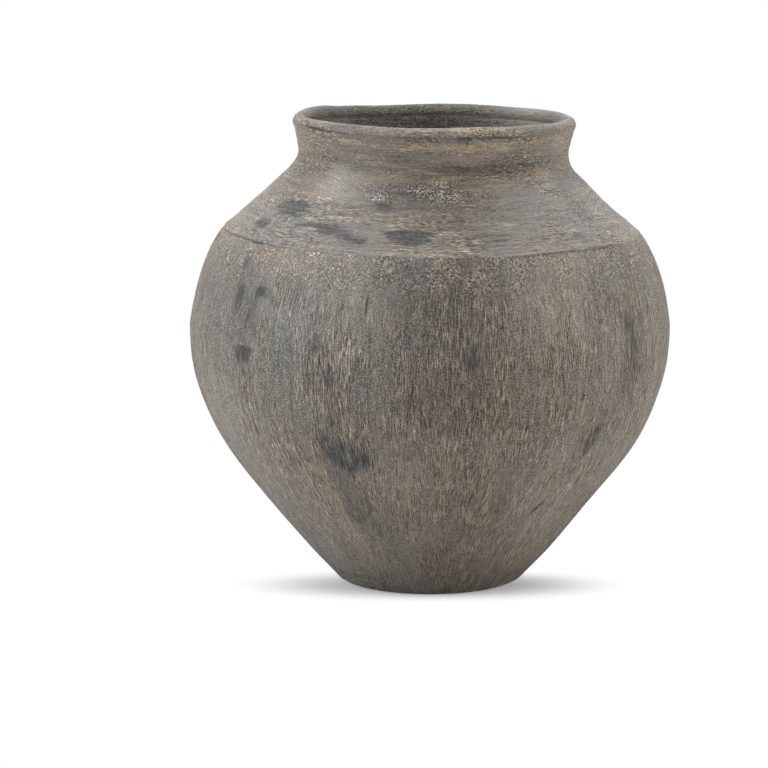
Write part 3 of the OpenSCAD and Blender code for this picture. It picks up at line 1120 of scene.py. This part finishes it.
crown_marks["chalk"] = [
    (-42.5, 53.5, 36, 12, 0.35),
    (-20.5, 44.5, 24, 9, 0.9),
    (-2, 47, 64, 16, 0.8),
    (-60, 60, 30, 9, 0.5),
    (90, 50, 60, 14, 0.6),
    (-120, 48, 70, 12, 0.6),
    (170, 50, 50, 14, 0.6),
    (-67, 102.5, 10, 2, 0.9),
    (-51.5, 101.5, 12, 3, 0.9),
]
crown_lumps = [(16.5, 1, 4.4, 4.4, -1.2), (-4.5, 64, 44, 1.6, -0.5, 9)]
# The mouth rises and dips by a millimetre or two round the jar, as (turn, rise)
rim_wave = [
    (-157, -0.8),
    (-138, 0.2),
    (-120, 2.3),
    (-85, 0.4),
    (-48, 0.3),
    (-12, -0.9),
    (25, 0.1),
    (90, 0.1),
    (118, 0.8),
    (142, 0.4),
    (170, 1),
]
cone_outer = wall_rows(crown, seam_at, waist_joint_at, rows=65)
cone_inner = wall_rows(crown, seam_at + mitre_slip, waist_joint_at, INNER_ROWS, inner=True)
waist_way = way_at(cone_outer[-1])
shoulder = turned_ring(
    "jar_shoulder_ring",
    ring_outline(cone_outer, waist_way, cone_inner, -uphill(mitre_lean)),
    CROWN_COLUMNS,
    crown_clay,
    **LEVEL,
)
weather(shoulder, crown_marks, crown_lumps, base=seam_h, wave=rim_wave)
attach(shoulder, "root")
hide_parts("shoulder_ring")

# Shoulder coil
# A thinner coil was pressed along the inside of the seam, against both walls, to hold the crown
# on the body. It is as dark and dusty as the floor's coil.
seam_coil_r, seam_coil_sink = 11.0, 4.0
seam_coil = turned_ring(
    "jar_seam_coil",
    coil_outline(
        seam_inside + seam_coil_sink * facing(mitre_lean),
        seam_coil_r,
        -facing(mitre_lean),
        lambda points: (clearance(body, points) > 0) & (clearance(crown, points) > 0),
        seam_inside,
    ),
    columns=500,
    clay=inner_clay,
    **DENTS,
)
weather(seam_coil, {})
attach(seam_coil, "root")
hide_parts("shoulder_coil")

# Neck collar
# The short neck rises from the waist and flares out under the lip. Fingers drawn round it left
# it level ridges, and buff slip has dried on it in bands.
neck_outer = wall_rows(crown, waist_joint_at, rim_joint_at, rows=60)
neck_inner = wall_rows(crown, waist_joint_at, rim_joint_at, rows=14, inner=True)
neck_way = way_at(neck_outer[-1])
neck = turned_ring(
    "jar_neck_collar",
    ring_outline(neck_outer, neck_way, neck_inner, waist_way),
    CROWN_COLUMNS,
    crown_clay,
    **LEVEL,
)
weather(neck, crown_marks, crown_lumps, base=seam_h, wave=rim_wave)
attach(neck, "root")
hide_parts("neck_collar")

# Rim coil
# A last coil was rolled over the neck's edge and smoothed with a wet cloth into a round lip,
# which handling has worn pale, and crusted in spots.
rim_clay = fired_clay(
    "earthenware_rubbed_lip",
    cool="#7e7c77",
    warm="#867665",
    pale="#b7b2aa",
    blotch=(26.0, 26.0, 80.0),
    wash=(12.0, 12.0, 90.0),
    streak=(60.0, 60.0, 300.0),
    fine=(200.0, 200.0, 1000.0),
    sandy=0.4,
    bands=0.8,
    depth=0.5,
    relief=0.5,
    soot_and_shade_ramp=(0.3, 0.8),
)
LIP_ROWS = 56
lip_turns = np.linspace(neck_lean - lip_wrap, math.pi - neck_lean + lip_wrap, LIP_ROWS)
lip_faces = facing(lip_turns)
# How much of the root's height shows outside and inside, under the round of the lip
root_out, root_in = 0.55, 0.3
root_rows = wall_rows(crown, rim_joint_at, rim_joint_at + rim_root * root_out, rows=6)
root_inner = wall_rows(crown, rim_joint_at, rim_joint_at + rim_root * root_in, rows=4, inner=True)
# Between these angles, across the lip's top, the weathered outside turns into the darker inside
outside_end, inside_start = 1.45, 2.05
lip_inside = ramp(lip_turns, outside_end, inside_start)
lip_gap = 1.0
lip_rows = plain_rows(
    lip_c + lip_r * lip_faces,
    lip_faces,
    root_rows[-1, 4] + lip_gap + lip_r * (lip_turns - lip_turns[0]),
    1.0 - (1.0 - INNER_SKIN) * lip_inside,
    lip_inside,
)
rim_rows = np.concatenate(
    [
        root_rows,
        lip_rows,
        root_inner[::-1],
        joint_rows(root_rows[0], root_inner[0], neck_way)[::-1],
        root_rows[:1],
    ]
)
rim = turned_ring("jar_rim_coil", rim_rows, CROWN_COLUMNS, rim_clay, **LEVEL)
weather(rim, crown_marks, crown_lumps + [(-51, 95, 60, 3, -1.5, 2.9)], base=seam_h, wave=rim_wave)
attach(rim, "root")
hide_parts("rim_coil")

# Floor and light
# A studio floor, white to the camera in the open and grey in the jar's shade, with large soft
# lights at both sides, above and behind, and a white room that gives little light.
floor_mesh = bpy.data.meshes.new("studio_floor")
FLOOR_HALF = 12.0
floor_mesh.from_pydata(
    [(x * FLOOR_HALF, y * FLOOR_HALF, 0.0) for x, y in ((-1, -1), (1, -1), (1, 1), (-1, 1))],
    [],
    [(0, 1, 2, 3)],
)
studio_floor = bpy.data.objects.new("studio_floor", floor_mesh)
scene.collection.objects.link(studio_floor)
WHITE = (1.0, 1.0, 1.0, 1.0)
# Matt white studio paper
paper = bpy.data.materials.new("matt_white_paper")
room = bpy.data.worlds.new("pale_room")
seen = {}
for backdrop in (paper, room):
    backdrop.use_nodes = True
    tree = backdrop.node_tree
    tree.nodes.clear()
    ray = add(tree, "ShaderNodeLightPath")
    shown = ray["Is Camera Ray"]
    for kind in ("Is Glossy Ray", "Is Transmission Ray"):
        shown = add(tree, MATH, {0: shown, 1: ray[kind]}, operation="MAXIMUM")[0]
    seen[backdrop.name] = shown
tree = paper.node_tree
sheet = add(tree, "ShaderNodeBsdfDiffuse", {"Color": (0.8, 0.79, 0.78, 1.0)})[0]
glow = add(tree, "ShaderNodeEmission", {"Color": WHITE, "Strength": 0.1})[0]
both = add(tree, "ShaderNodeAddShader", {0: sheet, 1: glow})[0]
white = add(tree, "ShaderNodeEmission", {"Color": WHITE, "Strength": 1.0})[0]
# Inside an oval round the foot the floor shows the jar's shade, and outwards it turns plain white
spot = add(
    tree,
    "ShaderNodeMapping",
    {
        "Vector": add(tree, "ShaderNodeTexCoord")["Object"],
        "Location": (0.0, 0.145, 0.0),
        "Scale": (1.0, 2.9, 1.0),
    },
)[0]
away = add(tree, VECTOR_MATH, {0: spot}, operation="LENGTH")["Value"]
shade_inner, shade_outer = 0.055, 0.19
open_floor = add(
    tree, MAP_RANGE, {"Value": away, "From Min": shade_inner, "From Max": shade_outer}, **SOFT
)[0]
both = add(tree, "ShaderNodeMixShader", {0: open_floor, 1: both, 2: white})[0]
mixed = add(tree, "ShaderNodeMixShader", {0: seen[paper.name], 1: sheet, 2: both})[0]
add(tree, "ShaderNodeOutputMaterial", {"Surface": mixed})
floor_mesh.materials.append(paper)

scene.world = room
tree = room.node_tree
ROOM_LEVEL = 0.06
level = add(tree, MIX, {"Factor": seen[room.name], 2: ROOM_LEVEL, 3: 1.0}, data_type="FLOAT")[0]
glow = add(tree, "ShaderNodeBackground", {"Color": WHITE, "Strength": level})[0]
add(tree, "ShaderNodeOutputWorld", {"Surface": glow})

AIM = (0.0, 0.0, 0.22)
for name, place, size, power, colour in (
    ("left_light", (-2.6, -0.4, 1.3), 1.8, 59.0, (0.95, 1.0, 1.05)),
    ("right_light", (2.6, -0.5, 1.3), 1.8, 45.0, (1.0, 0.99, 0.97)),
    ("top_light", (0.0, -0.6, 2.6), 1.6, 34.0, (1.0, 1.0, 1.0)),
    ("back_light", (0.0, 1.2, 2.5), 1.6, 56.0, (1.0, 1.0, 1.0)),
):
    lamp = bpy.data.lights.new(name, "AREA")
    lamp.shape, lamp.size = "SQUARE", size
    lamp.energy, lamp.color = power, colour
    light = bpy.data.objects.new(name, lamp)
    light.location = place
    away = np.subtract(place, AIM)
    level_away = math.hypot(away[0], away[1])
    light.rotation_euler = (
        math.atan2(level_away, away[2]), 0.0, math.atan2(away[1], away[0]) + math.pi / 2
    )
    scene.collection.objects.link(light)
